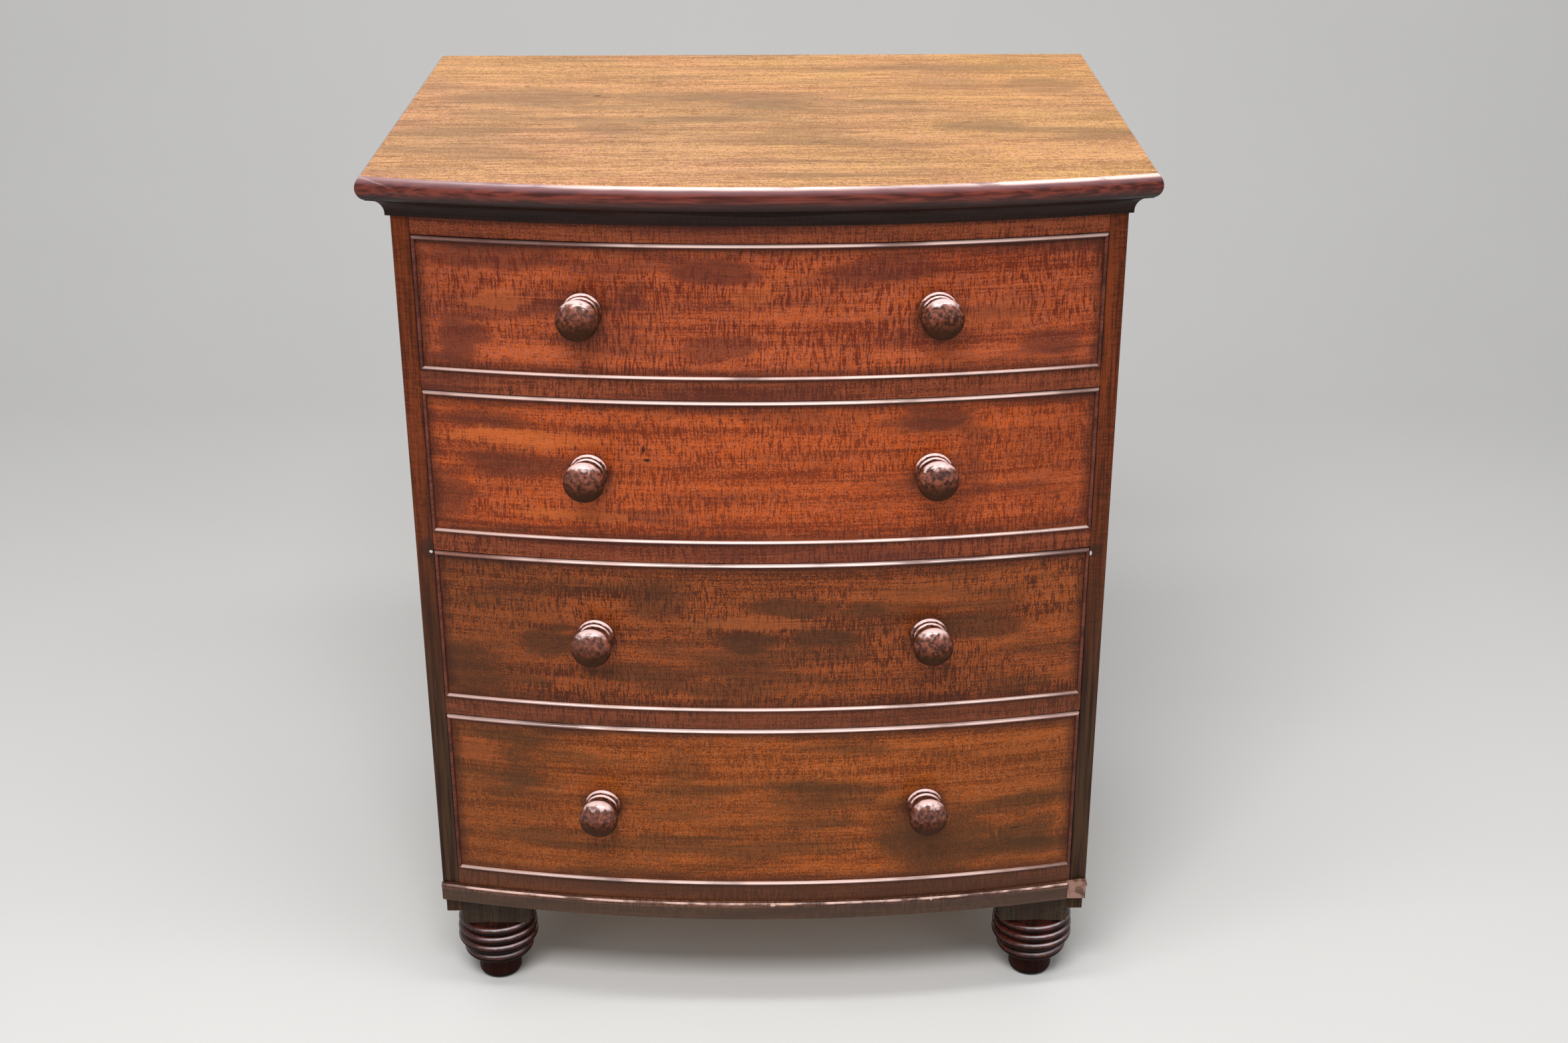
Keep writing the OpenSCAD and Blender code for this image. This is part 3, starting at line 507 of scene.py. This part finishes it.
sideLook = dict(darkPolish, grain="z", pith=(0.4, 0.05), light=(0.200, 0.040, 0.010),
    deep=(0.062, 0.014, 0.005), coat=0.07, sheen=0.08, touches=[brownerBelow,
        knocks(stile["dents"], stile["dentColour"], "xz"), knocks(stile["dots"], stile["dotColour"], "xz")])
sideWoods = [wood("case_side_" + hand, dict(sideLook, seed=seed))
    for hand, seed in (("left", 2.0), ("right", 2.6))]


# the mouldings: an edge named above or below is a height above the floor
hollow = {"lipBelow": (0.7712, 0.7722), "lip": (0.110, 0.085, 0.055), "lipDepth": 0.75}


def hollowShadeAndLip(paint, film, spot):
    # the hollow under the top is painted black, as painted shade under the top's overhang and old polish,
    # save for the lighter lip of its fillet
    paint.stain(film, (1.0 - spot["z"].between(*hollow["lipBelow"])) * hollow["lipDepth"], hollow["lip"])


# the near-black colours of the hollow are painted shade as well as dark polish
coveLook = dict(darkPolish, light=(0.026, 0.010, 0.007), deep=(0.010, 0.004, 0.003), coat=0.05, sheen=0.12,
    touches=[hollowShadeAndLip])
coveWood = wood("hollow_moulding", dict(coveLook, seed=3.0, bent=True))
coveSideWood = wood("hollow_moulding_side", dict(coveLook, grain="y", seed=3.5))

plinth = {"darkening": (0.056, 0.031, 0.017), "darkerBelow": (0.1150, 0.1190), "darkeningDepth": 0.7,
    "rubHighlightSize": (45.0, 60.0, 60.0), "rubHighlightSeed": 43.0, "rubHighlightEdge": (0.40, 0.58),
    "beadTilt": (0.35, 0.60), "flatTilt": (0.88, 0.97), "beadAbove": (0.1180, 0.1200),
    "rubbedHighlight": (0.800, 0.520, 0.440), "rubHighlightDepth": 0.85, "leastRubHighlight": 0.05, "coat": 0.85, "leastCoat": 0.05,
    "marks": [(0.0080, 0.1205, 0.0030, 0.0016, 0.8), (0.1560, 0.1205, 0.0016, 0.0016, 0.7)],
    "markColour": (0.70, 0.48, 0.38)}


def plinthTone(paint, film, spot):
    # its bead crest is painted pale, a painted highlight that is partly rubbed wear, and the face below the
    # bead is darker
    highlightRubs = paint.speckle(spot["log"], plinth["rubHighlightSize"], plinth["rubHighlightSeed"], detail=3.0)
    highlightRubs = highlightRubs.between(*plinth["rubHighlightEdge"])
    paint.stain(film, (1.0 - spot["z"].between(*plinth["darkerBelow"])) * plinth["darkeningDepth"], plinth["darkening"])
    up = paint.facing("Z")
    crest = up.between(*plinth["beadTilt"]) * (1.0 - up.between(*plinth["flatTilt"]))
    crest = crest * spot["z"].between(*plinth["beadAbove"])
    paint.stain(film, crest * (highlightRubs * plinth["rubHighlightDepth"] + plinth["leastRubHighlight"]), plinth["rubbedHighlight"])
    film["coat"] = crest * plinth["coat"] + plinth["leastCoat"]


corner = {"patchSize": (60.0, 120.0, 120.0), "patchSeed": 47.0, "patchEdge": (0.42, 0.62),
    "behind": (-0.196, -0.170), "bare": (0.370, 0.205, 0.155), "bareDepth": 0.65, "leastBare": 0.10}


def wornCorner(paint, film, spot):
    # the ends of the side lengths are bare and pale where they turn the corner
    patchy = paint.speckle(spot["log"], corner["patchSize"], corner["patchSeed"], detail=3.0)
    patchy = patchy.between(*corner["patchEdge"])
    front = 1.0 - spot["y"].between(*corner["behind"])
    paint.stain(film, front * (patchy * corner["bareDepth"] + corner["leastBare"]), corner["bare"])


plinthLook = dict(darkPolish, light=(0.180, 0.074, 0.044), deep=(0.060, 0.025, 0.016), coatRough=0.2,
    coatGloss=1.6, shares=(0.4, 0.2, 0.4, 0.2))
plinthWood = wood("plinth_moulding", dict(plinthLook, seed=3.8, bent=True,
    touches=[plinthTone, knocks(plinth["marks"], plinth["markColour"], "xz")]))
plinthSideWood = wood("plinth_moulding_side", dict(plinthLook, grain="y", seed=4.1, touches=[wornCorner]))


# the rails
rail = {"redAbove": (0.13, 0.50), "brown": (0.066, 0.032, 0.015), "brownDepth": 0.6}


def railTone(paint, film, spot):
    # the lower rails are browner
    paint.stain(film, (1.0 - spot["z"].between(*rail["redAbove"])) * rail["brownDepth"], rail["brown"])


railWood = wood("rail", dict(mahogany, seed=4.0, bent=True, light=(0.292, 0.066, 0.022),
    deep=(0.090, 0.017, 0.006), blushTint=(0.97, 1.10, 1.5), touches=[railTone]))


# the cockbeads
bead = {"width": 0.0032, "reach": 0.2884, "mitre": (-0.0004, 0.0004),
    "ends": (0.10, 0.30), "endsFade": 0.5, "dimSlope": 0.03, "dimLevel": (0.005, 0.008), "dimDepth": 0.8,
    "patchSize": (14.0, 30.0, 30.0), "patchEdge": (0.28, 0.52), "patchShare": 0.75, "evenShare": 0.25,
    "crestTilt": (0.00, 0.40), "rubbedHighlight": (0.900, 0.640, 0.570),
    "underShadeTilt": (-0.55, -0.15), "dark": (0.014, 0.006, 0.005), "underShadeDepth": 0.85,
    "coatTilt": (-0.2, 0.3), "coat": 0.9, "leastCoat": 0.04, "uprightRough": 0.3}


def wornAndHighlitCrest(low, high, dim):
    # the beads are painted pale along their crest and top, a painted highlight that is partly rubbed wear,
    # more so in the middle of the chest
    def touch(paint, film, spot):
        up = paint.facing("Z")
        fromEnd = bead["reach"] - abs(spot["x"])
        fromEdge = (spot["z"] - low).least(high - spot["z"]) + bead["width"]
        lying = 1.0 - (fromEdge - fromEnd).between(*bead["mitre"])  # the upright strips stay dark
        middle = 1.0 - abs(spot["x"]).between(*bead["ends"]) * bead["endsFade"]
        slope = bead["dimSlope"]
        for start, end, level in dim:
            worse = spot["x"].between(start - slope, start + slope)
            worse = worse - spot["x"].between(end - slope, end + slope)
            near = 1.0 - abs(spot["z"] - level).between(*bead["dimLevel"])
            middle = middle * (1.0 - worse * near * bead["dimDepth"])
        patchy = paint.speckle(spot["log"], bead["patchSize"], spot["seed"] + apart["beadHighlights"], detail=3.0)
        patchy = patchy.between(*bead["patchEdge"])
        crest = up.between(*bead["crestTilt"]) * lying
        crest = crest * (middle * patchy * bead["patchShare"] + middle * bead["evenShare"])
        paint.stain(film, crest, bead["rubbedHighlight"])
        # painted shade darkens the underside of each bead
        paint.stain(film, (1.0 - up.between(*bead["underShadeTilt"])) * bead["underShadeDepth"], bead["dark"])
        film["coat"] = up.between(*bead["coatTilt"]) * lying * middle * bead["coat"] + bead["leastCoat"]
        film["rough"] = film["rough"] + (1.0 - lying) * bead["uprightRough"]
    return touch


beadLook = dict(darkPolish, bent=True, light=(0.180, 0.050, 0.032), deep=(0.080, 0.022, 0.015),
    rough=0.26, coatRough=0.16, coatGloss=2.2, sheen=0.15)
beadWoods = [wood(f"cockbead_{i + 1}", dict(beadLook, seed=9.0 + i,
    touches=[wornAndHighlitCrest(front["low"], front["high"], front["dimBeads"])])) for i, front in enumerate(fronts)]


# turned work. A tilt is how far a surface faces up, forward or aside, from -1 to 1
turned = {"darkeningDepth": 0.93, "patchSize": (190.0, 190.0, 190.0), "collarBefore": (0.010, 0.013),
    "coatTilt": (0.0, 0.5), "coat": 0.95, "leastCoat": 0.03}
# the rubbed highlight colour is a painted highlight, partly real wear, and the dark colour underneath is
# painted shade
knob = {"shadeTilt": (-0.40, 0.40), "darkening": (0.040, 0.014, 0.005),
    "rubbedHighlight": (0.920, 0.650, 0.620), "rubHighlightDepth": 1.0, "rubbedHighlightTilt": (0.57, 0.90),
    "forwardTilt": (-1.2, -0.9), "aside": 0.0, "collarHighlight": 0.30, "rubHighlightBreaks": 0.8}  # rubbed all round
foot = {"shadeTilt": (-0.20, 0.40), "darkening": (0.005, 0.003, 0.002),
    "rubbedHighlight": (0.720, 0.600, 0.630), "rubHighlightDepth": 0.95, "rubbedHighlightTilt": (0.40, 0.74),
    "forwardTilt": (0.52, 0.84), "aside": 0.35, "collarHighlight": 0.0, "rubHighlightBreaks": 0.2}


def shaded(look):
    # painted highlight on top and in front, partly rubbed wear, and painted shade underneath
    def touch(paint, film, spot):
        up = paint.facing("Z")
        # painted shade underneath
        paint.stain(film, (1.0 - up.between(*look["shadeTilt"])) * turned["darkeningDepth"], look["darkening"])
        patchy = paint.speckle(spot["log"], turned["patchSize"], spot["seed"] + apart["turnedHighlights"],
            detail=3.0)
        out = (spot["x"] ** 2 + (spot["y"] - bow["axisY"]) ** 2) ** 0.5 - bow["radius"]
        higher = up + (1.0 - out.between(*turned["collarBefore"])) * look["collarHighlight"]
        higher = higher + (patchy - 0.5) * look["rubHighlightBreaks"]
        highlightRubs = higher.between(*look["rubbedHighlightTilt"])
        forward = paint.facing("X") * look["aside"] - paint.facing("Y")
        # painted highlight on top and in front, partly rubbed wear
        paint.stain(film, highlightRubs * forward.between(*look["forwardTilt"]) * look["rubHighlightDepth"], look["rubbedHighlight"])
        film["coat"] = up.between(*turned["coatTilt"]) * turned["coat"] + turned["leastCoat"]
    return touch


knobWood = wood("knob", dict(darkPolish, grain="y", seed=10.0, pith=(0.0, 0.0), ring=0.003,
    light=(0.300, 0.084, 0.046), deep=(0.044, 0.013, 0.009), fibreSize=(90.0, 260.0, 260.0),
    fleckSize=(330.0, 260.0, 260.0), cloudSize=(120.0, 260.0, 260.0), shares=(0.4, 0.1, 0.4, 0.1),
    spread=0.09, rough=0.45, coatRough=0.15, coatGloss=1.8, sheen=0.03, touches=[shaded(knob)]))
# the foot blocks' near-black olive colour is partly painted shade under the plinth
blockWood = wood("foot_block", dict(darkPolish, grain="z", seed=3.3, light=(0.056, 0.034, 0.018),
    deep=(0.016, 0.012, 0.007), coat=0.08, sheen=0.10))
footWood = wood("foot", dict(darkPolish, grain="z", seed=11.0, pith=(0.26, 0.1), ring=0.004,
    light=(0.110, 0.018, 0.010), deep=(0.020, 0.005, 0.004), rough=0.45, coatRough=0.18, coatGloss=1.65,
    sheen=0.03, touches=[shaded(foot)]))

# the plain wood inside and behind
pineAcross = wood("pine_across", dict(pine, seed=12.0, pith=(0.0, 0.5)))
pineBack = wood("pine_upright", dict(pine, grain="z", seed=13.0, pith=(0.1, 0.35)))
pineDeep = wood("pine_deep", dict(pine, grain="y", seed=14.0, pith=(0.2, 0.3)))
print("finishes mixed")

# each finish, how far it eases the arrises in metres, and the pieces that take it
carcass = [
    (topWood, 0.0006, ["top_board"]),
    (coveWood, 0.0004, ["top_moulding_front"]),
    (coveSideWood, 0.0004, ["top_moulding_left", "top_moulding_right"]),
    (sideWoods[0], 0.0008, ["left_side"]),
    (sideWoods[1], 0.0008, ["right_side"]),
    (railWood, 0.0006, ["top_rail", "rail_1", "rail_2", "rail_3", "bottom_rail"]),
    (plinthWood, 0.0007, ["plinth_front"]),
    (plinthSideWood, 0.0006, ["plinth_left", "plinth_right"]),
    (blockWood, 0.001, ["foot_blocks"]),
    (footWood, 0.0, ["foot_front_left", "foot_front_right", "foot_back_left", "foot_back_right"]),
    (pineBack, 0.0015, ["back_board_left", "back_board_right"]),
    (pineAcross, 0.0, ["bottom_board", "back_rail", "drawer_stops"]),
    (pineDeep, 0.0, ["runners_1", "runners_2", "runners_3", "kickers"]),
]
for material, width, pieces in carcass:
    for node in pieces:
        dress(node, material, width)
print("carcass dressed")

drawerEasing = 0.0005
for i in range(len(fronts)):
    name = f"drawer_{i + 1}_"
    dress(name + "front", frontWoods[i], drawerEasing)
    dress(name + "cockbeads", beadWoods[i])
    for hand in ("left", "right"):
        dress(name + "knob_" + hand, knobWood)
        dress(f"{name}{hand}_side", pineDeep, drawerEasing)
    dress(name + "back", pineAcross, drawerEasing)
    dress(name + "bottom", pineAcross)
print("drawers dressed")

# studio: a pale floor that sweeps up into the backdrop
studio = {"halfWidth": 14.0, "front": -12.0, "back": 2.6, "bend": 1.2, "bendSteps": 16, "height": 4.5,
    "colour": (0.80, 0.79, 0.77), "mottle": 0.02, "mottleSize": (3.0, 3.0, 3.0), "mottleSeed": 41.0,
    "rough": 0.7, "sheen": 0.2}


def sweep():
    bend, wall = studio["bend"], studio["back"]
    rows = [(studio["front"], 0.0), (wall - bend, 0.0)]
    for step in range(1, studio["bendSteps"] + 1):
        turn = math.radians(90 * step / studio["bendSteps"])
        rows.append((wall - bend + bend * math.sin(turn), bend * (1 - math.cos(turn))))
    rows.append((wall, studio["height"]))
    shape = bmesh.new()
    line = [[shape.verts.new((side * studio["halfWidth"], y, z)) for y, z in rows] for side in (-1, 1)]
    for k in range(len(rows) - 1):
        face = shape.faces.new((line[0][k], line[1][k], line[1][k + 1], line[0][k + 1]))
        face.smooth = True
    mesh = bpy.data.meshes.new("sweep")
    shape.to_mesh(mesh)
    shape.free()
    floor = bpy.data.objects.new("studio_floor", mesh)
    bpy.context.scene.collection.objects.link(floor)
    paint = Paint("pale_floor")
    place = paint.add("ShaderNodeTexCoord", output="Object")
    mottle = paint.speckle(place, studio["mottleSize"], studio["mottleSeed"])
    colour = paint.mix(mottle, [c * (1 - studio["mottle"]) for c in studio["colour"]],
        [min(1, c * (1 + studio["mottle"])) for c in studio["colour"]])
    skin = paint.add("ShaderNodeBsdfPrincipled", None, {"Base Color": colour, "Roughness": studio["rough"],
        "Specular IOR Level": studio["sheen"]})
    paint.add("ShaderNodeOutputMaterial", None, [skin])
    mesh.materials.append(paint.material)


sweep()

# lamps: places and aims in metres, power in watts. Only the overhead one shows in the polish, so the
# others leave no round spots on the knobs
lamps = [
    {"name": "overhead", "place": (0.05, -0.60, 2.35), "aim": (0.0, -0.15, 0.6), "size": (1.9, 0.30),
        "power": 17.0, "shine": True},
    {"name": "key", "place": (-0.25, -1.95, 2.70), "aim": (0.0, 0.0, 0.50), "size": (1.5, 0.8),
        "power": 56.0, "shine": False},
    {"name": "left_fill", "place": (-1.9, -2.3, 1.6), "aim": (0.0, 0.0, 0.42), "size": (1.4, 1.2),
        "power": 7.0, "shine": False},
    {"name": "right_fill", "place": (1.9, -2.3, 1.6), "aim": (0.0, 0.0, 0.42), "size": (1.4, 1.2),
        "power": 7.0, "shine": False},
]
for lamp in lamps:
    light = bpy.data.lights.new(lamp["name"], "AREA")
    light.shape = "RECTANGLE"
    light.size, light.size_y = lamp["size"]
    light.energy = lamp["power"]
    stand = bpy.data.objects.new(lamp["name"], light)
    stand.location = lamp["place"]
    aim = Vector(lamp["aim"]) - Vector(lamp["place"])
    stand.rotation_euler = aim.to_track_quat("-Z", "Y").to_euler()
    stand.visible_glossy = lamp["shine"]
    bpy.context.scene.collection.objects.link(stand)

daylight = {"colour": (0.95, 0.97, 1.0), "strength": 0.32}
world = bpy.data.worlds.new("studio")
bpy.context.scene.world = world
world.use_nodes = True
air = world.node_tree.nodes["Background"]
air.inputs["Color"].default_value = (*daylight["colour"], 1.0)
air.inputs["Strength"].default_value = daylight["strength"]

# the photograph's viewpoint: metres, degrees, and the lens and sensor in millimetres
photoCamera = {"place": (0.01308, -1.89622, 1.24811), "turn": (66.052, 0.132, -0.273), "lens": 48.596,
    "sensor": 36.0, "near": 0.05}
eye = bpy.data.cameras.new("photo_camera")
eye.lens = photoCamera["lens"]
eye.sensor_width = photoCamera["sensor"]
eye.clip_start = photoCamera["near"]
seat = bpy.data.objects.new("photo_camera", eye)
seat.location = photoCamera["place"]
seat.rotation_euler = [math.radians(angle) for angle in photoCamera["turn"]]
bpy.context.scene.collection.objects.link(seat)
bpy.context.scene.camera = seat
bpy.context.scene.view_settings.view_transform = "Standard"
print("studio lit")
